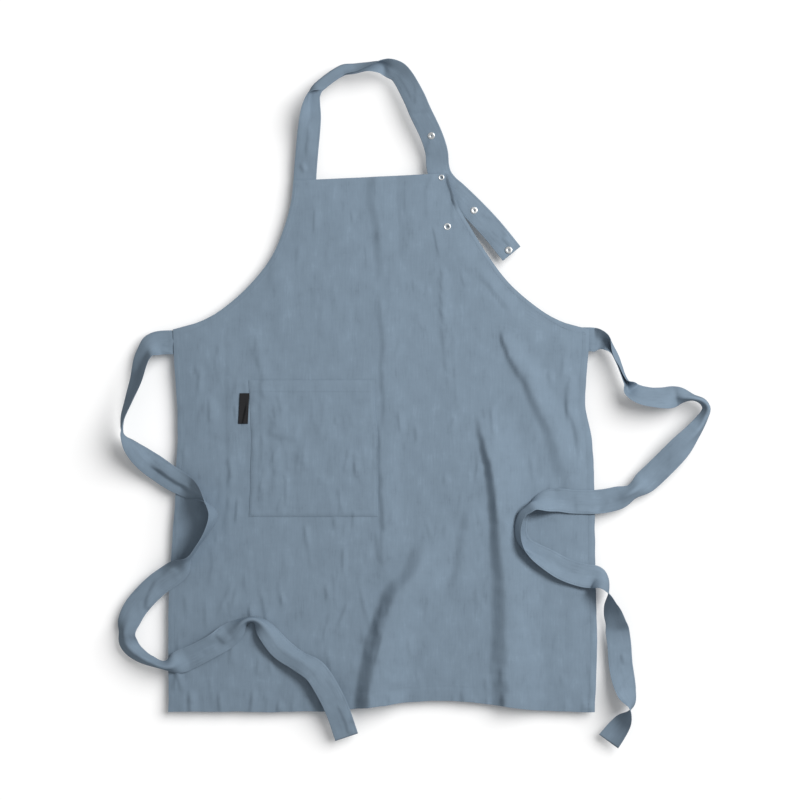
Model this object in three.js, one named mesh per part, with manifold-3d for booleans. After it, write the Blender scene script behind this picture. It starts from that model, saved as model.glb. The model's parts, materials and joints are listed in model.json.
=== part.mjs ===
// A linen bib apron laid out flat with its front up: one folded sheet of cloth with a patch pocket,
// two long waist ties, and a neck strap that closes on ring snaps.
// Millimetres. +X is to the right of the laid apron, +Y towards the neck strap, +Z up from the surface.
import * as THREE from "three";
import { mergeVertices } from "three/addons/utils/BufferGeometryUtils.js";
import Module from "manifold-3d";

const wasm = await Module();
wasm.setup();

// Driving dimensions

const CLOTH = 1.0; // wall of the single layer of linen
const HEM = 1.8; // wall of a turned hem
const TAPE = 1.2; // wall of the doubled tapes
const GAP = 0.35; // between pieces that lie on each other

const APRON_WIDTH = 700; // across the skirt, where the columns of the sheet are counted
const HEM_LINE = -514; // y of the bottom edge
const WAIST = 125; // y of the corners that carry the ties
const BIB_TOP = 379; // y of the middle of the bib's top edge
const BOTTOM_HEM = 27; // depth of the bottom hem
const SIDE_HEM = 12; // depth of the side hems
const COLUMN_STEP = 17; // largest facet across the sheet
const SKIRT_STEP = 30; // largest facet along the skirt
const BIB_STEP = 26; // largest facet along the bib

const POCKET_FROM_SIDE = 125; // pocket's left seam, counted as the columns are
const POCKET_WIDTH = 214;
const POCKET_TOP = 40; // y of the mouth
const POCKET_BOTTOM = -188; // y of the lower seam
const POCKET_EASE = 6.5; // how far the mouth stands open
const POCKET_OPENS = 0.4; // share of the pocket's depth, from the lower seam, over which it opens

const LABEL_WIDTH = 16;
const LABEL_LENGTH = 51;
const LABEL_TOP = 18; // y of the upper end
const LABEL_CORNER = 1.5;
const LABEL_WALL = 1.0;

const STRAP_WIDTH = 38;
const TIE_WIDTH = 40;
const TAPE_STEP = 14; // largest facet along a tape

const RING_OUTER = 5.8; // radius of a snap ring
const RING_INNER = 2.9;
const SOCKET_INNER = 1.9; // radius of a socket's hole
const RING_HEIGHT = 1.3;
const RING_ROUND = 0.4; // how far the rounded rim draws in
const BACK_HEIGHT = 0.8; // ring on the far side of the cloth
const PRONG_CIRCLE = 4.3; // radius on which the prongs stand
const PRONG_RADIUS = 0.55;
const PRONG_COUNT = 3;
const ROUND_SIDES = 12;
const PRONG_SIDES = 6;

// Tables of the cloth as it lies

// Sides of the skirt and of the bib: y, left x, right x
const SKIRT_SIDES = [
  [HEM_LINE, -409, 304],
  [-430, -409, 306],
  [-344, -409, 306],
  [-261, -404, 304],
  [-160, -398, 303],
  [-60, -394, 299],
  [3, -394, 287],
  [75, -399, 292],
  [WAIST, -401, 294],
];
const BIB_SIDES = [
  [WAIST, -401, 294],
  [136, -360, 252],
  [157, -321, 213],
  [199, -273, 163],
  [245, -237, 127],
  [296, -215, 95],
  [340, -204, 69],
  [BIB_TOP, -200, 56],
];

// The bib's top edge climbs to the right, and the bottom edge is drawn up by the folds above it
const BIB_TOP_CLIMB = 6; // each way from the middle
const BIB_TOP_REACH = 80; // how far down the climb is felt
const HEM_RISE = { x: 45, half: 217, height: 19, reach: 160 };

// Folds: the crest runs from one point to the other with a sideways bow, and falls off to its left and right
const FOLDS = [
  { from: [-66, 400], to: [-54, -235], bow: 5, height: 3.5, left: 22, right: 34 },
  { from: [36, -190], to: [-62, -600], bow: -22, height: 15, left: 30, right: 62 },
  { from: [105, -150], to: [40, -430], bow: -8, height: 4, left: 26, right: 40 },
  { from: [118, 10], to: [152, -640], bow: 8, height: 9, left: 20, right: 34 },
  { from: [140, 150], to: [283, -135], bow: -10, height: 7, left: 18, right: 40 },
  { from: [272, 110], to: [268, -80], bow: -3, height: 3, left: 14, right: 20 },
];
const FOLD_FADE = 0.3; // share of a fold's length over which each end dies away

// Places where the sheet lies over a tape or a snap: middle, half sizes of the lifted box, and its height
const LIFTED = [
  { x: -181, y: 352, halfX: 36, halfY: 46, height: 2.1, fade: 60 },
  { x: 52, y: 345, halfX: 38, halfY: 66, height: 4.6, fade: 80 },
  { x: -396, y: 104, halfX: 34, halfY: 42, height: 2.1, fade: 50 },
  { x: 290, y: 108, halfX: 34, halfY: 42, height: 2.1, fade: 50 },
];

// Runs of the tapes, a row for each section: x, y, twist about the run in degrees, height of the lower edge
const STRAP_RUN = [
  [-181, 331, 0, 0.4],
  [-181, 371, 0, 0.4],
  [-177, 425, 12, 0.5],
  [-172, 474, 22, 0.5],
  [-169, 500, 45, 0.5],
  [-164, 520, 62, 0.5],
  [-153, 534, 62, 0.5],
  [-119, 559, 60, 0.5],
  [-97, 562, 68, 0.5],
  [-77, 566, 73, 0.5],
  [-59, 568, 69, 1],
  [-39, 564, 59, 3],
  [-22, 552, 44, 7],
  [0, 513, 14, 14],
  [11, 488, 8, 13],
  [30, 448, 4, 8],
  [39, 420, 1, 4],
  [41, 397, 0, 1.8],
  [46, 380, 0, 1.5],
  [57, 365, 0, 1.5],
  [72, 352, 0, 1.5],
  [103, 322, 0, 1.5],
  [132, 291, 0, 1.5],
  [162, 254, 0, 1.5],
];
const LEFT_RUN = [
  [-387, 103, 0, 0.4],
  [-404, 103, 0, 0.4],
  [-426, 99, 8, 0.5],
  [-446, 88, 36, 1],
  [-460, 63, 58, 0.5],
  [-477, 3, 76, 0.5],
  [-485, -27, 86, 0.5],
  [-483, -50, 97, 0.5],
  [-471, -71, 122, 0.5],
  [-451, -90, 150, 0.5],
  [-428, -107, 172, 2],
  [-403, -124, 186, 3],
  [-376, -140, 214, 3],
  [-350, -159, 262, 3],
  [-333, -184, 290, 3],
  [-343, -212, 283, 3],
  [-361, -240, 278, 3],
  [-381, -264, 310, 3],
  [-403, -283, 348, 3],
  [-431, -305, 360, 2],
  [-461, -337, 364, 0.5],
  [-477, -367, 395, 0.5],
  [-476, -396, 420, 0.5],
  [-461, -416, 426, 0.5],
  [-441, -429, 432, 1],
  [-413, -435, 452, 3],
  [-384, -427, 492, 3],
  [-354, -414, 524, 3],
  [-324, -397, 545, 3],
  [-297, -377, 592, 3],
  [-279, -361, 622, 3],
  [-263, -360, 640, 3],
  [-245, -379, 676, 5],
  [-221, -407, 688, 8],
  [-192, -428, 676, 11],
  [-164, -445, 697, 15],
  [-144, -474, 716, 16],
  [-126, -511, 720, 13],
  [-111, -556, 722, 4],
];
const RIGHT_RUN = [
  [267, 108, 0, 0.4],
  [281, 108, 0, 0.4],
  [296, 108, 0, 0.4],
  [305, 107, -8, 0.8],
  [313, 103, -46, 3],
  [321, 97, -63, 6],
  [331, 84, -71, 5],
  [341, 63, -76, 2.2],
  [350, 41, -92, 0.8],
  [365, 22, -126, 0.5],
  [392, 12, -150, 0.5],
  [422, 10, -164, 0.5],
  [446, 13, -220, 0.5],
  [467, 11, -250, 0.5],
  [483, 4, -266, 0.5],
  [489, -7, -284, 0.5],
  [484, -21, -292, 0.5],
  [466, -47, -316, 0.5],
  [440, -78, -346, 0.5],
  [415, -104, -358, 0.5],
  [391, -127, -346, 0.5],
  [366, -146, -306, 1],
  [341, -157, -340, 2.5],
  [309, -163, -360, 3],
  [270, -163, -356, 3],
  [237, -160, -335, 3],
  [208, -165, -314, 3],
  [187, -181, -298, 3],
  [180, -202, -285, 3],
  [183, -224, -274, 3],
  [197, -245, -268, 3],
  [220, -268, -258, 3],
  [248, -286, -243, 3],
  [279, -294, -228, 3],
  [305, -294, -216, 3],
  [317, -300, -234, 1],
  [326, -316, -270, 0.5],
  [329, -336, -302, 0.5],
  [337, -364, -338, 0.5],
  [344, -402, -360, 0.5],
  [347, -439, -362, 0.5],
  [355, -478, -390, 0.5],
  [363, -500, -426, 0.5],
  [360, -514, -456, 0.5],
  [350, -529, -488, 0.5],
  [326, -563, -526, 0.5],
];

// Snaps of the strap, as distances along it, and the spare one of the bib
const STRAP_SNAPS = { snap_strap_upper: 468, snap_strap_middle: 619, snap_strap_end: 702 };
const FASTENED_AT = 541;
const SPARE_AT = [57, 296];

// Small helpers

const ROUNDING = 1e-6;

const ease = (value) => THREE.MathUtils.smoothstep(value, 0, 1);

// Values that run in equal steps, none larger than asked, through every stop
function spaced(stops, largest) {
  const values = [stops[0]];
  for (let stop = 1; stop < stops.length; stop++) {
    const start = stops[stop - 1];
    const span = stops[stop] - start;
    const count = Math.ceil(span / largest - ROUNDING);
    for (let step = 1; step <= count; step++) values.push(start + (span * step) / count);
  }
  return values;
}

// A smooth curve through the rows of a table, as a function of its key
function throughRows(keys, rows) {
  const columns = rows[0].length;
  const curve = new THREE.CubicInterpolant(keys, rows.flat(), columns, new Float64Array(columns));
  return (key) => Array.from(curve.evaluate(key));
}

// A closed wall between two like grids of points, the upper one seen from outside
function wallBetween(lower, upper) {
  const rows = upper.length;
  const columns = upper[0].length;
  const points = [...upper.flat(), ...lower.flat()];
  const positions = points.flatMap((point) => [point.x, point.y, point.z]);
  const index = [];
  const top = (row, column) => row * columns + column;
  const bottom = (row, column) => rows * columns + top(row, column);
  const quad = (a, b, c, d) => index.push(a, b, c, a, c, d);
  for (let row = 0; row + 1 < rows; row++) {
    for (let column = 0; column + 1 < columns; column++) {
      quad(top(row, column), top(row, column + 1), top(row + 1, column + 1), top(row + 1, column));
      quad(bottom(row, column), bottom(row + 1, column), bottom(row + 1, column + 1), bottom(row, column + 1));
    }
    const last = columns - 1;
    quad(top(row, 0), top(row + 1, 0), bottom(row + 1, 0), bottom(row, 0));
    quad(top(row + 1, last), top(row, last), bottom(row, last), bottom(row + 1, last));
  }
  for (let column = 0; column + 1 < columns; column++) {
    const last = rows - 1;
    quad(top(0, column + 1), top(0, column), bottom(0, column), bottom(0, column + 1));
    quad(top(last, column), top(last, column + 1), bottom(last, column + 1), bottom(last, column));
  }
  const geometry = new THREE.BufferGeometry();
  geometry.setAttribute("position", new THREE.Float32BufferAttribute(positions, 3));
  geometry.setIndex(index);
  return geometry;
}

// Joining and cutting

function toSolid(geometry) {
  const bare = geometry.clone();
  bare.deleteAttribute("normal");
  bare.deleteAttribute("uv");
  const merged = mergeVertices(bare);
  return new wasm.Manifold(
    new wasm.Mesh({
      numProp: 3,
      vertProperties: new Float32Array(merged.getAttribute("position").array),
      triVerts: new Uint32Array(merged.getIndex().array),
    }),
  );
}

function toGeometry(solid) {
  const mesh = solid.getMesh();
  const geometry = new THREE.BufferGeometry();
  geometry.setAttribute("position", new THREE.BufferAttribute(mesh.vertProperties, 3));
  geometry.setIndex(new THREE.BufferAttribute(mesh.triVerts, 1));
  return geometry;
}

// The sheet: how it lies and the grid it is made on

const skirtSides = throughRows(SKIRT_SIDES.map(([y]) => y), SKIRT_SIDES);
const bibSides = throughRows(BIB_SIDES.map(([y]) => y), BIB_SIDES);

function foldHeight(fold, x, y) {
  const along = new THREE.Vector2(fold.to[0] - fold.from[0], fold.to[1] - fold.from[1]);
  const length = along.length();
  along.divideScalar(length);
  const across = new THREE.Vector2(-along.y, along.x);
  const offset = new THREE.Vector2(x - fold.from[0], y - fold.from[1]);
  const share = offset.dot(along) / length;
  const side = offset.dot(across) - fold.bow * 4 * share * (1 - share);
  const half = side < 0 ? fold.left : fold.right;
  const profile = Math.cos((Math.PI / 2) * Math.min(1, Math.abs(side) / half)) ** 2;
  const ends = ease(share / FOLD_FADE) * ease((1 - share) / FOLD_FADE);
  return fold.height * profile * ends;
}

function liftHeight(lift, x, y) {
  const outX = Math.max(0, Math.abs(x - lift.x) - lift.halfX);
  const outY = Math.max(0, Math.abs(y - lift.y) - lift.halfY);
  return lift.height * ease(1 - Math.hypot(outX, outY) / lift.fade);
}

// Height of the sheet's underside
function underside(x, y) {
  const folds = FOLDS.reduce((sum, fold) => sum + foldHeight(fold, x, y), 0);
  const lifted = LIFTED.reduce((most, lift) => Math.max(most, liftHeight(lift, x, y)), 0);
  return Math.max(folds, lifted);
}

const pocketRight = POCKET_FROM_SIDE + POCKET_WIDTH;
const columnStops = [0, SIDE_HEM, POCKET_FROM_SIDE, pocketRight, APRON_WIDTH - SIDE_HEM, APRON_WIDTH];
const sheetColumns = spaced(columnStops, COLUMN_STEP);
const skirtStops = [HEM_LINE, HEM_LINE + BOTTOM_HEM, POCKET_BOTTOM, POCKET_TOP, WAIST];
const armholeStart = [WAIST + 8, WAIST + 18]; // close rows where the armholes turn
const bibRows = spaced([WAIST, ...armholeStart, BIB_TOP], BIB_STEP);
const sheetRows = [...spaced(skirtStops, SKIRT_STEP), ...bibRows.slice(1)];

// A point of the sheet's underside, from its row and its place across
function sheetPoint(row, across) {
  const [, left, right] = row > WAIST ? bibSides(row) : skirtSides(row);
  const x = THREE.MathUtils.lerp(left, right, across / APRON_WIDTH);
  const climb = BIB_TOP_CLIMB * ((2 * across) / APRON_WIDTH - 1) * ease(1 - (BIB_TOP - row) / BIB_TOP_REACH);
  const near = Math.min(1, Math.abs(x - HEM_RISE.x) / HEM_RISE.half);
  const drawn = HEM_RISE.height * Math.cos((Math.PI / 2) * near) ** 2;
  const rise = drawn * ease(1 - (row - HEM_LINE) / HEM_RISE.reach);
  const y = row + climb + rise;
  return new THREE.Vector3(x, y, underside(x, y));
}

const raised = (point, height) => new THREE.Vector3(point.x, point.y, point.z + height);
const atBorder = (list, index) => index <= 1 || index >= list.length - 2;
const sheetLower = sheetRows.map((row) => sheetColumns.map((across) => sheetPoint(row, across)));
const sheetUpper = sheetLower.map((points, row) =>
  points.map((point, column) =>
    raised(point, atBorder(sheetRows, row) || atBorder(sheetColumns, column) ? HEM : CLOTH),
  ),
);

// The pocket follows the facets of the sheet below it and stands open towards its mouth
function pocketGeometry() {
  const nearest = (list, value) => list.findIndex((entry) => Math.abs(entry - value) < ROUNDING);
  const firstColumn = nearest(sheetColumns, POCKET_FROM_SIDE);
  const lastColumn = nearest(sheetColumns, pocketRight);
  const firstRow = nearest(sheetRows, POCKET_BOTTOM);
  const lastRow = nearest(sheetRows, POCKET_TOP);
  const lower = [];
  for (let row = firstRow; row <= lastRow; row++) {
    const depth = (row - firstRow) / (lastRow - firstRow);
    const line = [];
    for (let column = firstColumn; column <= lastColumn; column++) {
      const across = (2 * (column - firstColumn)) / (lastColumn - firstColumn) - 1;
      const open = POCKET_EASE * (1 - across ** 4) * ease(depth / POCKET_OPENS);
      line.push(raised(sheetUpper[row][column], GAP + open));
    }
    lower.push(line);
  }
  return wallBetween(lower, lower.map((line) => line.map((point) => raised(point, CLOTH))));
}

// A woven tab that lies on the sheet with its inner edge against the pocket's seam
function labelGeometry() {
  const shape = new THREE.Shape();
  const corner = LABEL_CORNER;
  shape.moveTo(LABEL_WIDTH, 0);
  shape.lineTo(LABEL_WIDTH, LABEL_LENGTH);
  shape.lineTo(corner, LABEL_LENGTH);
  shape.absarc(corner, LABEL_LENGTH - corner, corner, Math.PI / 2, Math.PI);
  shape.lineTo(0, corner);
  shape.absarc(corner, corner, corner, Math.PI, 1.5 * Math.PI);
  return new THREE.ExtrudeGeometry(shape, { depth: LABEL_WALL, bevelEnabled: false, curveSegments: 3 });
}

// Tapes

// The run of a tape as a function of the distance along it: its middle and its own three directions
function tapeRun(rows, width) {
  const keys = [0];
  for (let row = 1; row < rows.length; row++) {
    const [x, y] = rows[row];
    const [lastX, lastY] = rows[row - 1];
    keys.push(keys[row - 1] + Math.hypot(x - lastX, y - lastY));
  }
  const length = keys.at(-1);
  const curve = throughRows(keys, rows);
  const middleAt = (distance) => {
    const [x, y, degrees, lift] = curve(distance);
    const twist = THREE.MathUtils.degToRad(degrees);
    const halfHeight = (Math.abs(Math.sin(twist)) * width + Math.abs(Math.cos(twist)) * TAPE) / 2;
    return { middle: new THREE.Vector3(x, y, Math.max(GAP, lift) + halfHeight), twist };
  };
  const place = (distance) => {
    const { middle, twist } = middleAt(distance);
    const before = middleAt(Math.max(0, distance - 1)).middle;
    const after = middleAt(Math.min(length, distance + 1)).middle;
    const heading = after.sub(before).normalize();
    const side = new THREE.Vector3(-heading.y, heading.x, 0).normalize();
    const up = new THREE.Vector3().crossVectors(heading, side);
    const left = side.multiplyScalar(Math.cos(twist)).addScaledVector(up, Math.sin(twist));
    const out = new THREE.Vector3().crossVectors(heading, left);
    return { middle, heading, left, out };
  };
  return { length, place };
}

function tapeGeometry(rows, width) {
  const run = tapeRun(rows, width);
  const lower = [];
  const upper = [];
  for (const distance of spaced([0, run.length], TAPE_STEP)) {
    const { middle, left, out } = run.place(distance);
    const section = [width / 2, 0, -width / 2].map((side) => middle.clone().addScaledVector(left, side));
    lower.push(section.map((point) => point.clone().addScaledVector(out, -TAPE / 2)));
    upper.push(section.map((point) => point.clone().addScaledVector(out, TAPE / 2)));
  }
  return wallBetween(lower, upper);
}

// Snaps: a ring on the front, prongs through the cloth and a ring behind it, about the cloth's upper face

function ringBetween(bottom, height, inner) {
  const top = bottom + height;
  const rim = RING_OUTER - RING_ROUND;
  const profile = [
    [inner, bottom],
    [RING_OUTER, bottom],
    [RING_OUTER, top - RING_ROUND],
    [rim, top],
    [inner + RING_ROUND, top],
    [inner, bottom],
  ];
  const points = profile.map(([radius, z]) => new THREE.Vector2(radius, z));
  return toSolid(new THREE.LatheGeometry(points, ROUND_SIDES).rotateX(Math.PI / 2));
}

function prongsBetween(bottom, top, radius) {
  const prongs = [];
  for (let prong = 0; prong < PRONG_COUNT; prong++) {
    const angle = (2 * Math.PI * (prong + 0.5)) / PRONG_COUNT;
    const geometry = new THREE.CylinderGeometry(radius, radius, top - bottom, PRONG_SIDES);
    geometry.rotateX(Math.PI / 2);
    geometry.translate(PRONG_CIRCLE * Math.cos(angle), PRONG_CIRCLE * Math.sin(angle), (top + bottom) / 2);
    prongs.push(toSolid(geometry));
  }
  return prongs.reduce((joined, prong) => joined.add(prong));
}

const PRONG_BITE = 0.3; // how far the prongs reach into each ring

function snapSolid(inner, wall) {
  const back = -wall - GAP;
  const front = ringBetween(GAP, RING_HEIGHT, inner);
  const rear = ringBetween(back - BACK_HEIGHT, BACK_HEIGHT, RING_INNER);
  return front.add(rear).add(prongsBetween(back - PRONG_BITE, GAP + PRONG_BITE, PRONG_RADIUS));
}

// The closed pair, one plain piece through bib and strap: a ring above, a core between and a ring below
function fastenedSolid(strapTop) {
  const coreTop = -HEM - GAP;
  const coreBottom = strapTop + GAP;
  const back = strapTop - TAPE - GAP;
  const front = ringBetween(GAP, RING_HEIGHT, RING_INNER);
  const core = ringBetween(coreBottom, coreTop - coreBottom, RING_INNER);
  const rear = ringBetween(back - BACK_HEIGHT, BACK_HEIGHT, RING_INNER);
  const prongs = prongsBetween(back - PRONG_BITE, GAP + PRONG_BITE, PRONG_RADIUS);
  return front.add(core).add(rear).add(prongs);
}

const holeCutter = (wall) => prongsBetween(-wall - GAP, GAP, PRONG_RADIUS + GAP);

// Assembly

const linen = () => new THREE.MeshStandardMaterial({ color: 0x7b8c9c, roughness: 0.9, metalness: 0 });
const woven = () => new THREE.MeshStandardMaterial({ color: 0x111114, roughness: 0.8, metalness: 0 });
const steel = () => new THREE.MeshStandardMaterial({ color: 0xd8dadc, roughness: 0.25, metalness: 1 });

const apron = new THREE.Group();

function addPiece(name, geometry, material) {
  const mesh = new THREE.Mesh(geometry, material);
  mesh.name = name;
  apron.add(mesh);
  return mesh;
}

const strapRun = tapeRun(STRAP_RUN, STRAP_WIDTH);

// Where a snap of the strap sits: on the tape's upper face, in the tape's own directions
function strapSeat(distance) {
  const { middle, heading, left, out } = strapRun.place(distance);
  const right = left.clone().negate();
  const seat = new THREE.Matrix4().makeBasis(right, heading, out);
  return seat.setPosition(middle.clone().addScaledVector(out, TAPE / 2));
}

const fastenedSeat = strapSeat(FASTENED_AT);
const fastenedPlace = new THREE.Vector3().setFromMatrixPosition(fastenedSeat);
const fastenedTop = underside(fastenedPlace.x, fastenedPlace.y) + HEM;
const spareTop = underside(...SPARE_AT) + CLOTH;

let bodySolid = toSolid(wallBetween(sheetLower, sheetUpper));
bodySolid = bodySolid.subtract(holeCutter(HEM).translate([fastenedPlace.x, fastenedPlace.y, fastenedTop]));
bodySolid = bodySolid.subtract(holeCutter(CLOTH).translate([...SPARE_AT, spareTop]));
addPiece("body_panel", toGeometry(bodySolid), linen());

addPiece("pocket", pocketGeometry(), linen());

const pocketSeam = sheetPoint(LABEL_TOP, POCKET_FROM_SIDE);
const label = addPiece("pocket_label", labelGeometry(), woven());
label.position.set(pocketSeam.x - GAP - LABEL_WIDTH, LABEL_TOP - LABEL_LENGTH, CLOTH + GAP);

let strapSolid = toSolid(tapeGeometry(STRAP_RUN, STRAP_WIDTH));
const strapHoles = holeCutter(TAPE);
strapSolid = strapSolid.subtract(strapHoles.translate(fastenedPlace.toArray()));
for (const distance of Object.values(STRAP_SNAPS)) {
  strapSolid = strapSolid.subtract(strapHoles.transform(strapSeat(distance).elements));
}
addPiece("neck_strap", toGeometry(strapSolid), linen());

addPiece("tie_left", tapeGeometry(LEFT_RUN, TIE_WIDTH), linen());
addPiece("tie_right", tapeGeometry(RIGHT_RUN, TIE_WIDTH), linen());

const fastened = fastenedSolid(fastenedPlace.z - fastenedTop);
const closedSnap = addPiece("snap_fastened", toGeometry(fastened), steel());
closedSnap.position.set(fastenedPlace.x, fastenedPlace.y, fastenedTop);

const spareSnap = addPiece("snap_bib_spare", toGeometry(snapSolid(RING_INNER, CLOTH)), steel());
spareSnap.position.set(...SPARE_AT, spareTop);

for (const [name, distance] of Object.entries(STRAP_SNAPS)) {
  const socket = addPiece(name, toGeometry(snapSolid(SOCKET_INNER, TAPE)), steel());
  socket.applyMatrix4(strapSeat(distance));
}

export default apron;
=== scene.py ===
"""Looks of a linen bib apron that lies flat: cloth, stitches, label, snaps, light and camera.

The tables of the cloth are in millimetres, as in the part's source, and the meshes are in metres.
"""

import json
import math

import bpy
import numpy as np
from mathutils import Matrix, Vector, kdtree, noise


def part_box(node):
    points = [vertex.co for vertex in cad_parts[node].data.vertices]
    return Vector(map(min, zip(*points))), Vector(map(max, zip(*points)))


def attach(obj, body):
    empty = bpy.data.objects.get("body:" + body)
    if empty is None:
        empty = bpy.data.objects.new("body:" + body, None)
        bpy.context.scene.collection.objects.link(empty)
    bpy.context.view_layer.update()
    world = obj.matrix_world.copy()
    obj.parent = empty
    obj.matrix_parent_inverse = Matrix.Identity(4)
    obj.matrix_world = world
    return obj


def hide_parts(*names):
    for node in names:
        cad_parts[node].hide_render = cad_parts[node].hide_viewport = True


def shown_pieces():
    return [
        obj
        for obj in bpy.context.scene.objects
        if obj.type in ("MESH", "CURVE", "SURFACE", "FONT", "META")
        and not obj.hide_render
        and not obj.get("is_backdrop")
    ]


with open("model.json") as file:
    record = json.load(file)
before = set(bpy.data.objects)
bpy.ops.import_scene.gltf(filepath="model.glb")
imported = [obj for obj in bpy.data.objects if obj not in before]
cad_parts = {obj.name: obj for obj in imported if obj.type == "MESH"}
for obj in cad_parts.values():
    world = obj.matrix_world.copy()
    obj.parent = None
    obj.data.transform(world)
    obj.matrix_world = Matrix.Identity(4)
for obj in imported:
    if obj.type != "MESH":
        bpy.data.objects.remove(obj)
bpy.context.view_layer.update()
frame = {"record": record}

MM = 0.001


def node_box(node):
    """Lowest and highest corner of a CAD node, in millimetres."""
    low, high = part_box(node)
    return np.array(low) / MM, np.array(high) / MM


# Sizes of the cloth
body_low, _ = node_box("body_panel")
pocket_low, pocket_high = node_box("pocket")

CLOTH = 1.0  # wall of the single layer
HEM = 1.8  # wall of a turned hem
TAPE = 1.2  # wall of the doubled tapes
GAP = 0.35  # between pieces that lie on each other
STRAP_WIDTH = 38
TIE_WIDTH = 40

COLUMNS_AT = 700  # the sheet's columns are counted over this width
HEM_LINE = body_low[1]
WAIST = 125
BIB_TOP = 379
POCKET_FROM_SIDE = 125
POCKET_WIDTH = 214
POCKET_TOP = pocket_high[1]
POCKET_BOTTOM = pocket_low[1]
POCKET_MOUTH = 0.4  # how far the pocket's mouth stands open
POCKET_OPENS = 0.5  # share of its depth over which it opens
POCKET_CUT = 350  # the pocket's weave is this far from the one below it

# Hems and seams: how far in from the edge they reach
BOTTOM_HEM = 27
SIDE_HEM = 12.5
BIB_HEM = 9
TOP_HEM = 11
POCKET_HEM = 20
POCKET_SEAM = 3.5
POCKET_TURNED = 8
TAPE_SEAM = 3
HEM_STITCH = 2  # from a hem's inner edge to its stitches
BIB_HEM_BLEND = 20  # the side hem narrows over this length above the waist
SIDE_HEM_SHARE = 0.5  # the side hems stand out less than the others
TURNED_SLOPE = 3  # breadth of the step beside a turned edge
SEAM_RISE, MOUTH_RISE, TURNED_MOST = 0.25, 0.06, 0.3  # of the pocket's turned edges, and their limit

# Grooves along the stitches: depth and half breadth
HEM_GROOVE = (0.7, 1.3)
SEAM_GROOVE = (0.2, 1.2)
MOUTH_GROOVE = (0.03, 1.3)
TAPE_GROOVE = (0.16, 1.1)

# Pressed edges: depth, and how far in they are pressed
PRESSED = 0.7
PRESS_BREADTH = 5
MOUTH_PRESS = 7
PRESS_START = 0.5  # it starts this far outside the pocket's edge
PRESS_CLOSES = 0.8  # share of the gap below the pocket that its pressed seams close

# Stitches: length, gap, width, half thickness, rise of the thread, depth of its ends, where it bends
STITCH = 2.7
STITCH_GAP = 0.8
STITCH_WIDTH = 0.55
STITCH_HALF = 0.22
STITCH_RISE = 0.12
STITCH_SINK = 0.15
STITCH_BENDS = (0.18, 0.82)
STITCH_END = 4  # bare ends of the side hems
BARE_POINTS = 4  # points of the other hems' lines that stay bare at each end

# Steps of the meshes, and the row of points next to an edge
COLUMN_STEP = 2.6
ROW_STEP = 5.2
POCKET_STEP = 2.4
EDGE_STEP = 1.5
FOLD_STEP = 2.5
TAPE_STEP = 3
TAPE_STATION = 6
SEAM_STEP = 2
TAPE_POINTS = 81
RIM = 0.3
# Shares of a tape's half width that carry points
TAPE_SHARES = [1, 0.985, 0.95, 0.88, 0.84, 0.8, 0.74, 0.6, 0.45, 0.32, 0.2, 0.1, 0]

# Sides of the skirt and of the bib: y, left x, right x
SKIRT_SIDES = [
    (HEM_LINE, -409, 304), (-430, -409, 306), (-344, -409, 306), (-261, -404, 304), (-160, -398, 303),
    (-60, -394, 299), (3, -394, 287), (75, -399, 292), (WAIST, -401, 294),
]
BIB_SIDES = [
    (WAIST, -401, 294), (136, -360, 252), (157, -321, 213), (199, -273, 163), (245, -237, 127),
    (296, -215, 95), (340, -204, 69), (BIB_TOP, -200, 56),
]

# The bib's top edge climbs to the right, and the bottom edge is drawn up by the folds above it
BIB_TOP_CLIMB = 6
BIB_TOP_REACH = 80
HEM_RISE_X, HEM_RISE_HALF, HEM_RISE_HEIGHT, HEM_RISE_REACH = 45, 217, 19, 160

# Waver of the washed edges of the skirt: length and depth
WAVER = [(70, 1.6), (22, 0.8)]
WAVER_BELOW, WAVER_GROWS = 20, 40  # it starts this far below the waist and grows over this length
WAVER_HEM = 30  # how far up from the bottom edge it reaches
WAVER_FALL = 4  # how fast it dies away from the sides
WAVER_SEEDS = (21.7, 31.7, 41.7)  # of the left, right and bottom edge

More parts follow.
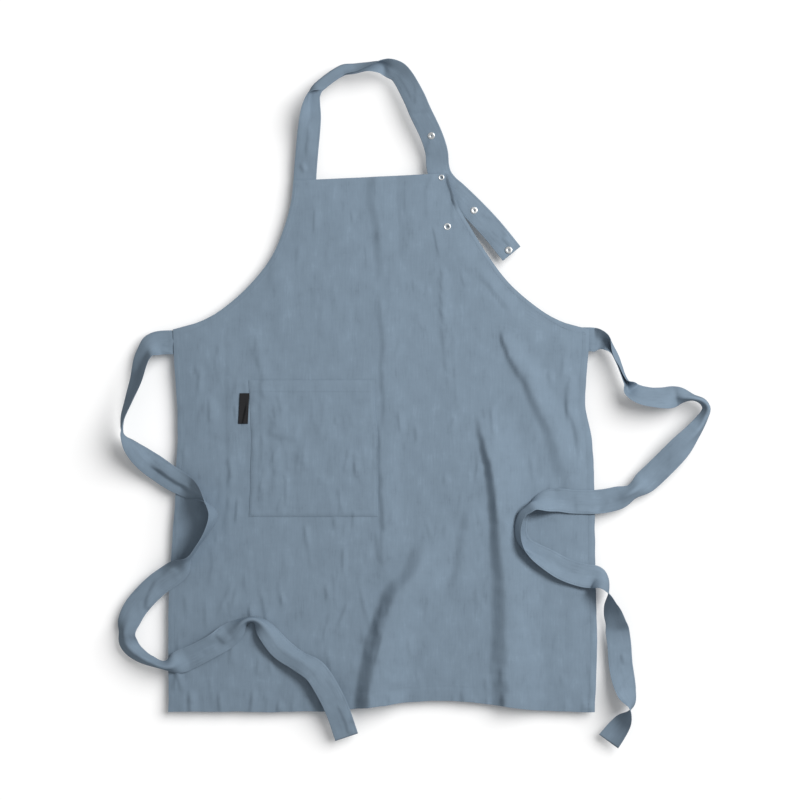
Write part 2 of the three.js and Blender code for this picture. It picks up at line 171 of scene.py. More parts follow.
# Folds: height, breadth of the steep left side at the upper and at the lower end, breadth of the gentle
# right side, how far each end dies away, and the line along the middle of the steep side, from the top
FOLDS = [
    (4.2, 22, 14, 66, 25, 110, [
        (-67, 400), (-70, 350), (-71, 330), (-64, 305), (-61, 270), (-58, 230), (-57, 180)]),
    (2.2, 9, 9, 38, 40, 60, [
        (-58, 190), (-55, 140), (-52, 100), (-54, 60), (-52, 30), (-50, -20), (-50, -60)]),
    (3.8, 10, 10, 36, 50, 40, [(-59, -20), (-58, -90), (-56, -150), (-52, -200), (-54, -250), (-52, -290)]),
    (21, 27, 30, 68, 150, 1, [
        (14, -190), (10, -215), (4, -250), (-10, -285), (-36, -308), (-48, -335), (-56, -355), (-66, -390),
        (-76, -430), (-83, -470), (-88, -540)]),
    (4.6, 20, 16, 40, 50, 50, [(90, -150), (86, -190), (78, -228), (73, -265), (62, -300), (50, -330)]),
    (13.5, 9, 40, 62, 110, 1, [
        (100, 0), (108, -40), (118, -80), (125, -110), (131, -150), (134, -200), (137, -250), (140, -290),
        (142, -340), (141, -390), (143, -450), (147, -550)]),
    (6, 5, 30, 36, 16, 110, [
        (142, 124), (146, 112), (158, 78), (170, 57), (186, 34), (198, 4), (210, -20), (222, -46),
        (236, -90), (250, -140), (255, -180)]),
    (2.8, 10, 8, 18, 30, 30, [(264, 70), (256, 20), (257, -8), (266, -36), (272, -60), (273, -95)]),
    (1.9, 5, 6, 20, 30, 40, [(44, 250), (45, 205), (46, 160), (48, 120), (52, 70)]),
    (-1.8, 5, 5, 32, 30, 30, [(92, -15), (91, 40), (92, 100), (90, 160)]),
    (1.2, 9, 9, 26, 30, 30, [(64, 130), (66, 90), (68, 30), (76, -30)]),
    (0.9, 9, 9, 26, 40, 50, [
        (-312, 150), (-311, 60), (-310, -60), (-308, -115), (-312, -200), (-314, -260)]),
    (1.8, 9, 9, 20, 20, 20, [(-272, 96), (-262, 72), (-255, 48), (-254, 22), (-246, 0)]),
    (2.2, 11, 12, 22, 20, 30, [(98, 214), (118, 205), (135, 185), (152, 163), (166, 145)]),
    (1.6, 6, 6, 18, 20, 20, [(70, 290), (73, 255), (78, 215), (88, 190)]),
    (1.6, 6, 6, 16, 15, 15, [(24, 335), (27, 305), (36, 282)]),
    (1.6, 14, 14, 40, 15, 15, [(-234, 255), (-240, 215), (-246, 190)]),
    (9.5, 14, 10, 18, 6, 14, [(52, 384), (57, 365), (63, 345), (70, 322)]),
    (1.3, 5, 5, 14, 10, 10, [(-385, 80), (-365, 60), (-350, 45)]),
    (1.2, 5, 5, 12, 8, 8, [(-395, 90), (-380, 50)]),
    (1, 8, 8, 16, 8, 8, [(-160, 275), (-130, 295)]),
    (1.2, 7, 7, 14, 8, 8, [(-165, 357), (-165, 328)]),
    (1, 5, 5, 12, 8, 8, [(-185, 352), (-186, 328)]),
    (1.2, 6, 6, 14, 12, 12, [(-340, -235), (-338, -270), (-342, -305)]),
    (1.6, 5, 5, 12, 10, 10, [(-312, -85), (-308, -115), (-311, -140)]),
]
FOLD_WANDER, FOLD_WANDER_LENGTH = 2.2, 15  # how far a fold strays from its line, and over what length
FOLD_UNEVEN, FOLD_UNEVEN_LENGTH = 0.5, 28  # how far its height comes and goes, and over what length
FOLD_BREADTH = 60  # size of both across the fold
POCKET_FOLDS = [
    (2.2, 14, 14, 40, 12, 12, [(-246, -48), (-215, -58), (-186, -62)]),
    (1.2, 14, 14, 20, 10, 10, [(-196, -75), (-192, -104)]),
    (0.4, 4, 4, 10, 10, 10, [(-256, 5), (-255, -60), (-256, -120), (-255, -182)]),
]

# Folds of the tapes, as places across the tape, counted to the left of its run, and along it
STRAP_FOLDS = [
    (1.6, 6, 6, 16, 20, 20, [(1, 75), (2, 110), (4, 150)]),
    (2.2, 4, 4, 9, 5, 5, [(3, 54), (11, 70)]),
]
LEFT_FOLDS = [
    (0.8, 3, 3, 6, 2, 2, [(20, 20), (-20, 20)]),
    (6, 5, 9, 22, 20, 10, [(2, 273), (2, 310), (4, 350), (7, 384)]),
    (3, 6, 6, 20, 10, 10, [(12, 616), (-6, 571), (-10, 525)]),
    (3, 8, 8, 18, 6, 6, [(-12, 862), (17, 857)]),
    (1.8, 5, 5, 14, 6, 10, [(5, 1182), (4, 1146), (3, 1124)]),
]
RIGHT_FOLDS = [(1.5, 4, 4, 10, 8, 8, [(3, 1002), (2, 978)])]

# Places where the sheet lies over a tape or a snap: middle, half sizes, height, reach of the slope
LIFTED = [
    (-181, 352, 36, 46, 2.1, 60),
    (52, 345, 38, 66, 4.6, 80),
    (-396, 104, 34, 42, 2.1, 50),
    (290, 108, 34, 42, 2.1, 50),
]

# Unevenness of the cloth, puckers of its bottom hem, crinkles of the pocket: height, two sizes, seed
UNEVEN = [(2.6, 76, 190, 7.3), (1.9, 42, 60, 18.3), (0.7, 18, 28, 29.3)]
PUCKER = (0.6, 12, 60, 61.7)
CRINKLE = (0.7, 34, 50, 91.1)
EDGE_LOOSE = 0.2  # share of the unevenness that is left at the edges
EDGE_REACH = 45
PUCKER_BELOW, PUCKER_REACH = 6, 34  # their middle below the hem's inner edge, and how far they reach
CRINKLE_SEAM, CRINKLE_MOUTH = 25, 30  # they grow over these lengths from the seams and the mouth
CRINKLE_LEFT = 0.2  # how far they have grown at the mouth itself

# Small creases of the washed cloth, strewn over parts of the sheet and of the pocket: how many,
# x and y from and to, and how strong they are
STREWN = [
    (120, -400, -250, -490, 110, 1.3),
    (80, -250, -40, -490, -190, 1.3),
    (30, -250, -40, -190, 60, 0.6),
    (90, -40, 300, -490, 110, 1.2),
    (40, -210, 80, 120, 375, 0.7),
    (30, -320, 220, 90, 200, 0.6),
    (44, -404, 298, -514, -500, 2.1),
    (50, -400, 295, -500, -390, 1.2),
]
POCKET_STREWN = [(40, -270, -60, -180, 15, 0.9)]
CREASE_LENGTH = (14, 60)
CREASE_HEIGHT = (0.2, 1.7)
CREASE_STEEP = (2.8, 5)
CREASE_GENTLE = (8, 20)
CREASE_RARE = 3  # the higher, the fewer of the creases are strong
CREASE_LEAN = 10  # usual lean from the warp, in degrees
TAPE_CREASE_STEP = 20  # length of tape for each of its creases
TAPE_CREASE_LEAN = 40
TAPE_CREASE_STRENGTH = 1.1

# Runs of the tapes: x, y, how many degrees the left and the right half rise from the crease along the
# middle, and the height of the lowest edge; angles go on counting where the tape turns over
STRAP_RUN = [
    (-181, 331, 0, 0, 0.4), (-181, 371, 0, 0, 0.4), (-177, 425, -4, 2, 4), (-172, 474, 26, 0, 7),
    (-169, 500, 62, 0, 7), (-164, 518, 100, -3, 6), (-157, 529, 158, -5, 5), (-119, 556, 166, 0, 5),
    (-97, 559, 146, 28, 6), (-77, 562, 118, 46, 7), (-59, 562, 96, 24, 8), (-39, 559, 48, -17, 9),
    (-22, 550, 34, -22, 11), (0, 513, 18, -17, 13), (11, 488, 15, -15, 13), (30, 448, 14, -14, 10),
    (39, 420, 10, -10, 6), (41, 397, 3, -3, 3), (46, 380, 0, 0, 1.5), (57, 365, 0, 0, 1.5),
    (72, 352, 0, 0, 1.5), (103, 322, 0, 0, 1.5), (132, 291, 0, 0, 1.5), (164.5, 251, 0, 0, 1.5),
]
LEFT_RUN = [
    (-387, 103, 0, 0, 0.4), (-404, 103, 0, 0, 0.4), (-424, 102, 2, -6, 0.5), (-437, 97.5, 18, -20, 0.5),
    (-446, 89, 54, -30, 0.5), (-454, 73, 66, -28, 0.5), (-462, 41, 76, -33, 0.5),
    (-474, 7, 84, -50, 0.5), (-485, -27, 88, -70, 0.5), (-484, -51, 104, -80, 0.5),
    (-471, -71, 158, -104, 0.5), (-451, -90, 176, -142, 0.5), (-428, -107, 180, -176, 2),
    (-403, -124, 181, -194, 3), (-376, -140, 186, -224, 3), (-350, -159, 256, -268, 3),
    (-333, -184, 290, -290, 3), (-343, -212, 281, -281, 3), (-361, -240, 276, -276, 3),
    (-374, -259, 284, -284, 3), (-387, -273, 328, -328, 3), (-405, -286, 354, -354, 3),
    (-431, -305, 360, -360, 2), (-461, -337, 362, -366, 0.5), (-474, -362, 362, -390, 0.5),
    (-477, -381, 366, -425, 0.5), (-476, -395, 350, -418, 0.5), (-469, -408, 320, -416, 0.5),
    (-455, -420, 304, -422, 0.5), (-440, -428, 296, -432, 0.5), (-413, -436, 298, -440, 1),
    (-384, -428, 372, -368, 1.5), (-354, -414, 388, -348, 2), (-324, -397, 380, -352, 3),
    (-297, -377, 322, -392, 3), (-279, -361, 278, -438, 3), (-263, -360, 278, -436, 3),
    (-245, -379, 304, -374, 1.5), (-221, -407, 326, -366, 2.5), (-192, -428, 312, -370, 5),
    (-164, -445, 340, -363, 14), (-144, -474, 356, -360, 19), (-126, -511, 360, -360, 16),
    (-111, -556, 360, -358, 3.5),
]
RIGHT_RUN = [
    (267, 108, 0, 0, 0.4), (281, 108, 0, 0, 0.4), (296, 108, 0, 0, 0.4), (302, 107.3, 0, 0, 0.5),
    (307, 106.8, 26, 0, 0.5), (312, 105.6, 48, 0, 0.5), (317, 103.4, 66, 2, 0.5),
    (321, 100.5, 86, 10, 0.5), (325, 97, 100, 38, 0.5), (330.5, 91.5, 113, 62, 0.5),
    (335.5, 84.5, 120, 70, 0.5), (340, 75, 120, 72, 0.5), (344, 65, 111, 77, 0.5),
    (350.5, 47, 103, 80, 0.5), (355.5, 36, 93, 74, 0.5), (360, 29.5, 46, 70, 0.5),
    (365, 23.5, 2, 70, 0.5), (373, 18, -22, 56, 0.5), (386, 13.5, -34, 42, 0.5),
    (402, 11, -37, 34, 0.5), (424, 10.5, -36, 8, 0.6), (446, 14, -40, -56, 0.5),
    (467, 11, -77, -85, 0.5), (483, 4, -83, -76, 0.5), (489, -7, -87, -64, 0.5),
    (484, -21, -82, -56, 0.5), (466, -47, -66, -20, 0.5), (440, -78, -16, -6, 9), (415, -104, 0, 0, 5),
    (391, -127, -8, -8, 0.5), (366, -146, -54, -54, 1), (341, -157, -16, -14, 2.5),
    (309, -163, 0, 0, 3), (270, -163, 4, 0, 3), (237, -160, 24, 0, 3), (208, -165, 40, -64, 3),
    (187, -181, 48, -150, 3), (180, -202, 54, -174, 3), (183, -225, 68, -176, 3),
    (202, -244, 108, -176, 1.5), (223.5, -258.5, 136, -176, 1), (252.5, -275.5, 156, -175, 1),
    (284, -286, 166, -172, 2), (304, -289, 158, -170, 3), (317, -298, 126, -126, 1),
    (326, -316, 90, -90, 0.5), (329, -336, 58, -58, 0.5), (333, -350, 42, -42, 0.5),
    (338, -366, 32, -32, 0.5), (341, -380, 8, -8, 0.5), (344, -402, 0, 0, 0.5), (347, -439, -2, 2, 0.5),
    (355, -478, -30, 30, 0.5), (363, -500, -66, 66, 0.5), (360, -514, -96, 96, 0.5),
    (350, -529, -142, 124, 0.5), (326, -563, -170, 160, 0.5),
]
OVER_SHEET = 100  # the ties are clear of their own seams after this length
CREASE = 5  # half the breadth of the crease along a tape
CLEAR_STATIONS = 2  # stations to each side that rise with one that has to
CLEAR_POINTS = 9  # points across a tape that are held clear of the sheet

# Waves of the tapes: height, size along, size across
TAPE_WAVE = (0.3, 34, 22)
TAPE_WAVE_FALL = 0.6  # how much they die away towards the edges
TAPE_ROUNDING, TAPE_EDGE = 16, 0.05  # how square a tape's edge is, and the least squared share of its wall

# Snaps of the strap, as distances along it
STRAP_SNAPS = {"snap_strap_upper": 463.5, "snap_strap_middle": 612.5, "snap_strap_end": 700.5}


# Curves, ease and noise

def smooth(value):
    """Eases from 0 to 1."""
    value = np.clip(value, 0, 1)
    return value * value * (3 - 2 * value)


def spaced(start, end, step):
    """Even values from start to end, about a step apart."""
    return np.linspace(start, end, max(2, round(abs(end - start) / step) + 1))


def through_rows(keys, rows):
    """A smooth curve through the rows of a table, as a function of its key."""
    keys = np.asarray(keys, float)
    rows = np.asarray(rows, float)
    slopes = np.empty_like(rows)
    slopes[1:-1] = (rows[2:] - rows[:-2]) / (keys[2:] - keys[:-2])[:, None]
    slopes[0] = (rows[1] - rows[0]) / (keys[1] - keys[0])
    slopes[-1] = (rows[-1] - rows[-2]) / (keys[-1] - keys[-2])

    def at(key):
        key = np.clip(np.asarray(key, float), keys[0], keys[-1])
        index = np.clip(np.searchsorted(keys, key, side="right") - 1, 0, len(keys) - 2)
        span = (keys[index + 1] - keys[index])[..., None]
        share = (key - keys[index])[..., None] / span
        rest = 1 - share
        start = rest * rest * ((1 + 2 * share) * rows[index] + share * span * slopes[index])
        end = share * share * ((1 + 2 * rest) * rows[index + 1] - rest * span * slopes[index + 1])
        return start + end

    return at


def ripple(x, y, size_x, size_y, seed):
    """Smooth noise from -1 to 1 with bumps of about that size."""
    flat = zip((x / size_x).ravel(), (y / size_y).ravel())
    return np.array([noise.noise((a, b, seed)) for a, b in flat]).reshape(x.shape)


def groove(size, distance):
    """Depth of a groove at a distance from its stitches."""
    depth, half = size
    return depth * np.exp(-(distance / half) ** 2)


def fold_profile(side, steep, gentle):
    """Share of a fold's height across it, steep about 0 and then gentle."""
    return smooth(side / steep + 0.5) * smooth(1 - (side - steep / 2) / gentle)


def unit(vectors):
    return vectors / np.linalg.norm(vectors, axis=-1, keepdims=True)


def tree_of(line):
    tree = kdtree.KDTree(len(line))
    for index, (x, y) in enumerate(line):
        tree.insert((x, y, 0), index)
    tree.balance()
    return tree


# The sheet as it lies

skirt_sides = through_rows([row[0] for row in SKIRT_SIDES], SKIRT_SIDES)
bib_sides = through_rows([row[0] for row in BIB_SIDES], BIB_SIDES)


def sheet_xy(across, row):
    """Place of a point of the sheet, from its column and its row."""
    across, row = np.broadcast_arrays(np.asarray(across, float), np.asarray(row, float))
    sides = np.where((row > WAIST)[..., None], bib_sides(row), skirt_sides(row))
    share = across / COLUMNS_AT
    x = sides[..., 1] + (sides[..., 2] - sides[..., 1]) * share
    climb = BIB_TOP_CLIMB * (2 * share - 1) * smooth(1 - (BIB_TOP - row) / BIB_TOP_REACH)
    near = np.minimum(1, np.abs(x - HEM_RISE_X) / HEM_RISE_HALF)
    rise = HEM_RISE_HEIGHT * np.cos(math.pi / 2 * near) ** 2
    y = row + climb + rise * smooth(1 - (row - HEM_LINE) / HEM_RISE_REACH)
    skirt = smooth((WAIST - WAVER_BELOW - row) / WAVER_GROWS)
    low = smooth(1 - (row - HEM_LINE) / WAVER_HEM)
    flat = np.zeros_like(row)
    left_seed, right_seed, bottom_seed = WAVER_SEEDS
    for index, (length, depth) in enumerate(WAVER):
        left = ripple(row, flat, length, 1, left_seed + index) * (1 - share) ** WAVER_FALL
        right = ripple(row, flat, length, 1, right_seed + index) * share ** WAVER_FALL
        x = x + depth * skirt * (left + right)
        y = y + depth * low * ripple(x, flat, length, 1, bottom_seed + index)
    return x, y


def run_keys(table):
    """Distances along the rows of a table that start with x and y."""
    steps = np.hypot(*np.diff(np.asarray(table, float)[:, :2], axis=0).T)
    return np.concatenate([[0], np.cumsum(steps)])


class Fold:
    """A fold along a line, steep to the left of it and gentle to the right."""

    def __init__(self, height, steep_above, steep_below, gentle, fade_in, fade_out, line):
        self.height, self.gentle = height, gentle
        self.fade_in, self.fade_out = fade_in, fade_out
        keys = run_keys(line)
        self.along = spaced(0, keys[-1], FOLD_STEP)
        self.steep = np.interp(self.along, [0, keys[-1]], [steep_above, steep_below])
        self.points = through_rows(keys, line)(self.along)
        self.heading = unit(np.gradient(self.points, axis=0))
        self.tree = tree_of(self.points)

    def rise(self, x, y):
        """Height of the fold at places near it, and 0 elsewhere."""
        reach = self.steep.max() + self.gentle
        low, high = self.points.min(0) - reach, self.points.max(0) + reach
        near = (x > low[0]) & (x < high[0]) & (y > low[1]) & (y < high[1])
        result = np.zeros_like(x)
        found = np.array([self.tree.find((a, b, 0))[1] for a, b in zip(x[near], y[near])], int)
        offset = np.stack([x[near], y[near]], -1) - self.points[found]
        heading = self.heading[found]
        side = heading[:, 0] * offset[:, 1] - heading[:, 1] * offset[:, 0]
        before = self.along[found] + (offset * heading).sum(-1)
        after = self.along[-1] - before
        steep = self.steep[found]
        wander = ripple(before, side, FOLD_WANDER_LENGTH, FOLD_BREADTH, self.along[-1])
        side = side + FOLD_WANDER * wander
        uneven = ripple(before, side, FOLD_UNEVEN_LENGTH, FOLD_BREADTH, self.height)
        height = self.height + FOLD_UNEVEN * uneven
        ends = smooth(before / self.fade_in) * smooth(after / self.fade_out)
        result[near] = height * fold_profile(side, steep, self.gentle) * ends
        return result


def lift_height(lift, x, y):
    middle_x, middle_y, half_x, half_y, height, reach = lift
    out_x = np.maximum(0, np.abs(x - middle_x) - half_x)
    out_y = np.maximum(0, np.abs(y - middle_y) - half_y)
    return height * smooth(1 - np.hypot(out_x, out_y) / reach)


folds_of_sheet = [Fold(*row) for row in FOLDS]
folds_of_pocket = [Fold(*row) for row in POCKET_FOLDS]


class Creases:
    """Small creases at seeded random places, steep to the left like the folds."""

    def __init__(self, seed, areas, lean):
        draw = np.random.default_rng(seed)
        self.rows = []
        for count, x_from, x_to, y_from, y_to, strength in areas:
            for _ in range(count):
                middle = draw.uniform(x_from, x_to), draw.uniform(y_from, y_to)
                turn = math.radians(draw.normal(0, lean))
                length = draw.uniform(*CREASE_LENGTH)
                steep = draw.uniform(*CREASE_STEEP)
                gentle = draw.uniform(*CREASE_GENTLE)
                rise = strength * np.interp(draw.uniform() ** CREASE_RARE, [0, 1], CREASE_HEIGHT)
                self.rows.append((*middle, math.sin(turn), -math.cos(turn), length, rise, steep, gentle))

    def rise(self, x, y):
        """Height of the creases at places of the cloth."""
        height = np.zeros_like(x)
        for middle_x, middle_y, heading_x, heading_y, length, rise, steep, gentle in self.rows:
            near = (np.abs(x - middle_x) < length) & (np.abs(y - middle_y) < length)
            offset_x, offset_y = x[near] - middle_x, y[near] - middle_y
            along = np.abs(offset_x * heading_x + offset_y * heading_y)
            side = heading_x * offset_y - heading_y * offset_x
            ends = smooth(2 - 4 * along / length)  # full in the middle half, then dying away
            height[near] += rise * fold_profile(side, steep, gentle) * ends
        return height


sheet_creases = Creases(5, STREWN, CREASE_LEAN)
pocket_creases = Creases(8, POCKET_STREWN, CREASE_LEAN)


# The edges of the sheet as close points, and how far a place is from them

def rimmed(start, end, step):
    """Even values with one more close to each end, for a crisp edge."""
    return np.concatenate([[start, start + RIM], spaced(start + step, end - step, step), [end - RIM, end]])


columns = rimmed(0, COLUMNS_AT, COLUMN_STEP)
rows = rimmed(HEM_LINE, BIB_TOP, ROW_STEP)
fine_rows = spaced(HEM_LINE, BIB_TOP, EDGE_STEP)
fine_columns = spaced(0, COLUMNS_AT, EDGE_STEP)
EDGES = {
    "left": np.stack(sheet_xy(0, fine_rows), -1),
    "right": np.stack(sheet_xy(COLUMNS_AT, fine_rows), -1),
    "bottom": np.stack(sheet_xy(fine_columns, HEM_LINE), -1),
    "top": np.stack(sheet_xy(fine_columns, BIB_TOP), -1),
}
EDGE_TREES = {name: tree_of(line) for name, line in EDGES.items()}


def edge_distance(name, x, y):
    tree = EDGE_TREES[name]
    flat = zip(x.ravel(), y.ravel())
    return np.array([tree.find((a, b, 0))[2] for a, b in flat]).reshape(x.shape)


def underside(x, y):
    """Height of the sheet's lower face, which lies closer to the floor towards its edges."""
    inside = np.min([edge_distance(name, x, y) for name in EDGES], axis=0)
    loose = EDGE_LOOSE + (1 - EDGE_LOOSE) * smooth(inside / EDGE_REACH)
    folds = sum(fold.rise(x, y) for fold in folds_of_sheet)
    lifted = np.max([lift_height(lift, x, y) for lift in LIFTED], axis=0)
    height = np.maximum(folds, lifted) + sheet_creases.rise(x, y)
    for rise, *bumps in UNEVEN:
        height = height + loose * rise * (1 + ripple(x, y, *bumps)) / 2
    return height


def side_hem(y):
    """Depth of the side hem, which narrows along the armholes."""
    return SIDE_HEM + (BIB_HEM - SIDE_HEM) * smooth((y - WAIST) / BIB_HEM_BLEND)


def surface(x, y):
    """Height of the sheet's upper face: hems are thicker, with a groove along their stitches."""
    sides = np.minimum(edge_distance("left", x, y), edge_distance("right", x, y)) - side_hem(y)
    bottom = edge_distance("bottom", x, y) - BOTTOM_HEM
    top = edge_distance("top", x, y) - TOP_HEM
    inside = np.min([sides, bottom, top], axis=0)
    shown = np.where(sides < np.minimum(bottom, top), SIDE_HEM_SHARE, 1)
    hem = shown * (HEM - CLOTH) * smooth(1 - (inside + TURNED_SLOPE / 2) / TURNED_SLOPE)
    sunk = shown * groove(HEM_GROOVE, inside + HEM_STITCH)
    height, *bumps = PUCKER
    pucker = height * ripple(x, y, *bumps) * smooth(1 - np.abs(bottom + PUCKER_BELOW) / PUCKER_REACH)
    rim = np.min([sides + side_hem(y), bottom + BOTTOM_HEM, top + TOP_HEM], axis=0)
    pressed = PRESSED * smooth(1 - rim / PRESS_BREADTH)
    return underside(x, y) + CLOTH + hem - sunk + pucker - pressed


# Meshes

def add_object(name, data):
    made = bpy.data.objects.new(name, data)
    bpy.context.scene.collection.objects.link(made)
    return made


def mesh_piece(name, points, faces, material, uv=None):
    """A smooth piece from points and faces in millimetres."""
    mesh = bpy.data.meshes.new(name)
    mesh.from_pydata((points * MM).tolist(), [], faces)
    mesh.shade_smooth()
    if uv is not None:
        layer = mesh.uv_layers.new(name="cloth")
        layer.data.foreach_set("uv", (uv * MM)[np.ravel(faces)].ravel())
    mesh.update()
    mesh.materials.append(material)
    return add_object(name, mesh)


def closed_wall(name, lower, upper, uv, material):
    """A closed wall between two like grids of points, the upper one seen from outside."""
    count = upper.shape[0] * upper.shape[1]
    top = np.arange(count).reshape(upper.shape[:2])
    low = top + count

    def quads(a, b, c, d):
        return np.stack([a, b, c, d], -1).reshape(-1, 4)

    faces = np.concatenate([
        quads(top[:-1, :-1], top[:-1, 1:], top[1:, 1:], top[1:, :-1]),
        quads(low[:-1, :-1], low[1:, :-1], low[1:, 1:], low[:-1, 1:]),
        quads(top[:-1, 0], top[1:, 0], low[1:, 0], low[:-1, 0]),
        quads(top[1:, -1], top[:-1, -1], low[:-1, -1], low[1:, -1]),
        quads(top[0, 1:], top[0, :-1], low[0, :-1], low[0, 1:]),
        quads(top[-1, :-1], top[-1, 1:], low[-1, 1:], low[-1, :-1]),
    ])
    points = np.concatenate([upper.reshape(-1, 3), lower.reshape(-1, 3)])
    flat_uv = np.concatenate([uv.reshape(-1, 2)] * 2)
    return mesh_piece(name, points, faces.tolist(), material, flat_uv)


def laid_piece(name, x, y, low, high, material, cut=0):
    """A piece between two heights over the same places; cut moves its weave."""
    lower, upper = np.stack([x, y, low], -1), np.stack([x, y, high], -1)
    return closed_wall(name, lower, upper, np.stack([x + cut, y], -1), material)


def stitch_piece(name, runs, material):
    """Short threads along lines of close points, each line with the cloth's upward direction."""
    points, faces = [], []
    ring = [(1, 0), (0, 1), (-1, 0), (0, -1)]
    for line, ups in runs:
        lengths = np.concatenate([[0], np.cumsum(np.linalg.norm(np.diff(line, axis=0), axis=1))])
        starts = np.arange(STITCH_GAP, lengths[-1] - STITCH - STITCH_GAP, STITCH + STITCH_GAP)

        def at(values, distance):
            return np.stack([np.interp(distance, lengths, values[:, axis]) for axis in range(3)], -1)

        for start in starts:
            ends = at(line, np.array([start, start + STITCH]))
            up = unit(at(ups, np.array([start + STITCH / 2])))[0]
            along = ends[1] - ends[0]
            across = unit(np.cross(up, along)) * STITCH_WIDTH / 2
            first = len(points)
            points.append(ends[0] - up * STITCH_SINK)
            for share in STITCH_BENDS:
                middle = ends[0] + along * share + up * STITCH_RISE
                points.extend(middle + across * a + up * b * STITCH_HALF for a, b in ring)
            points.append(ends[1] - up * STITCH_SINK)
            near, far = first + 1, first + 1 + len(ring)
            for side in range(len(ring)):
                after = (side + 1) % len(ring)
                faces.append((first, near + after, near + side))
                faces.append((near + side, near + after, far + after, far + side))
                faces.append((far + len(ring), far + side, far + after))
    return mesh_piece(name, np.array(points), faces, material)


# Materials

def set_inputs(node, inputs):
    """Sets plain inputs, named with _ for a space."""
    for name, value in inputs.items():
        node.inputs[name.replace("_", " ")].default_value = value
    return node


def new_material(name, **inputs):
    material = bpy.data.materials.new(name)
    material.use_nodes = True
    tree = material.node_tree
    return material, tree, set_inputs(tree.nodes["Principled BSDF"], inputs)


def add_node(tree, kind, **inputs):
    return set_inputs(tree.nodes.new(kind), inputs)


def scaled_coordinates(tree, scale_x, scale_y):
    """The cloth's own coordinates in metres, divided by a size across and along."""
    coordinates = tree.nodes.new("ShaderNodeTexCoord")
    scale = tree.nodes.new("ShaderNodeVectorMath")
    scale.operation = "MULTIPLY"
    scale.inputs[1].default_value = (1 / (scale_x * MM), 1 / (scale_y * MM), 1)
    tree.links.new(coordinates.outputs["UV"], scale.inputs[0])
    return scale.outputs[0]


def streaks(tree, size_x, size_y, detail):
    """Noise drawn out along the cloth."""
    texture = add_node(tree, "ShaderNodeTexNoise", Scale=1.0, Detail=detail, Roughness=0.55)
    tree.links.new(scaled_coordinates(tree, size_x, size_y), texture.inputs["Vector"])
    return texture.outputs["Fac"]


def grain(tree, scale, detail):
    """Fine noise in the piece's own coordinates."""
    texture = add_node(tree, "ShaderNodeTexNoise", Scale=scale, Detail=detail)
    coordinates = tree.nodes.new("ShaderNodeTexCoord")
    tree.links.new(coordinates.outputs["Object"], texture.inputs["Vector"])
    return texture.outputs["Fac"]


ONE_RIDGE = math.pi / 10  # scale of the wave texture that gives one ridge for each unit


def threads(tree, pitch, direction):
    """Ridges of parallel threads."""
    texture = add_node(tree, "ShaderNodeTexWave", Scale=ONE_RIDGE, Distortion=0.6, Detail=1.0)
    texture.bands_direction = direction
    tree.links.new(scaled_coordinates(tree, pitch, pitch), texture.inputs["Vector"])
    return texture.outputs["Fac"]


def math_node(tree, operation, first, second):
    node = tree.nodes.new("ShaderNodeMath")
    node.operation = operation
    for socket, value in zip(node.inputs, (first, second)):
        if isinstance(value, (int, float)):
            socket.default_value = value
        else:
            tree.links.new(value, socket)
    return node.outputs[0]


def base_colour(tree, shader, factor, stops):
    """Colours the shader by a factor, between stops of place and colour."""
    node = tree.nodes.new("ShaderNodeValToRGB")
    elements = node.color_ramp.elements
    for element, (position, colour) in zip(elements, (stops[0], stops[-1])):
        element.position, element.color = position, (*colour, 1)
    for position, colour in stops[1:-1]:
        elements.new(position).color = (*colour, 1)
    tree.links.new(factor, node.inputs["Fac"])
    tree.links.new(node.outputs["Color"], shader.inputs["Base Color"])


def bump(tree, shader, height, distance):
    node = add_node(tree, "ShaderNodeBump", Strength=1.0, Distance=distance)
    tree.links.new(height, node.inputs["Height"])
    tree.links.new(node.outputs["Normal"], shader.inputs["Normal"])


def tinted(colour, factor):
    return tuple(channel * factor for channel in colour)


LINEN = next(row["base_color"] for row in frame["record"]["materials"] if row["slot"] == "linen")
# Streaks of the linen: slubs, fine slubs, weft and mottle, each size across, size along, detail and share
LINEN_STREAKS = [(3.2, 34, 3, 0.26), (1.4, 20, 2, 0.12), (24, 3.4, 2, 0.08), (25, 34, 3, 0.54)]
# Shades of the linen: place in the streaks, factor on its colour
LINEN_SHADES = [(0.35, 0.87), (0.43, 0.967), (0.5, 1), (0.57, 1.033), (0.65, 1.13)]
WARP_PITCH, WEFT_PITCH, LABEL_PITCH = 0.55, 0.6, 0.5


def linen_material():
    """Washed linen: slubs along both threads, a soft mottle and a plain weave."""
    material, tree, shader = new_material("linen", Roughness=0.92, Specular_IOR_Level=0.15)
    parts = [streaks(tree, *row[:3]) for row in LINEN_STREAKS]
    slubs = parts[0]
    blend = 0
    for part, (*_, share) in zip(parts, LINEN_STREAKS):
        blend = math_node(tree, "ADD", blend, math_node(tree, "MULTIPLY", part, share))
    base_colour(tree, shader, blend, [(place, tinted(LINEN, shade)) for place, shade in LINEN_SHADES])
    weave = math_node(tree, "MAXIMUM", threads(tree, WARP_PITCH, "X"), threads(tree, WEFT_PITCH, "Y"))
    height = math_node(tree, "ADD", math_node(tree, "MULTIPLY", weave, 0.3), slubs)
    bump(tree, shader, height, 0.00016)
    return material


def thread_material():
    """Sewing thread in the cloth's colour, finely twisted."""
    material, tree, shader = new_material("thread", Roughness=0.7)
    twist = grain(tree, 900, 2)
    base_colour(tree, shader, twist, [(0.3, tinted(LINEN, 0.9)), (0.7, tinted(LINEN, 1.08))])
    bump(tree, shader, twist, 0.0001)
    return material


def label_material():
    """Black woven tape with a fine rib."""
    material, tree, shader = new_material("woven_label", Roughness=0.65, Specular_IOR_Level=0.25)
    rib = threads(tree, LABEL_PITCH, "Y")
    base_colour(tree, shader, rib, [(0.0, (0.006, 0.006, 0.007)), (1.0, (0.02, 0.02, 0.023))])
    bump(tree, shader, rib, 0.0001)
    return material


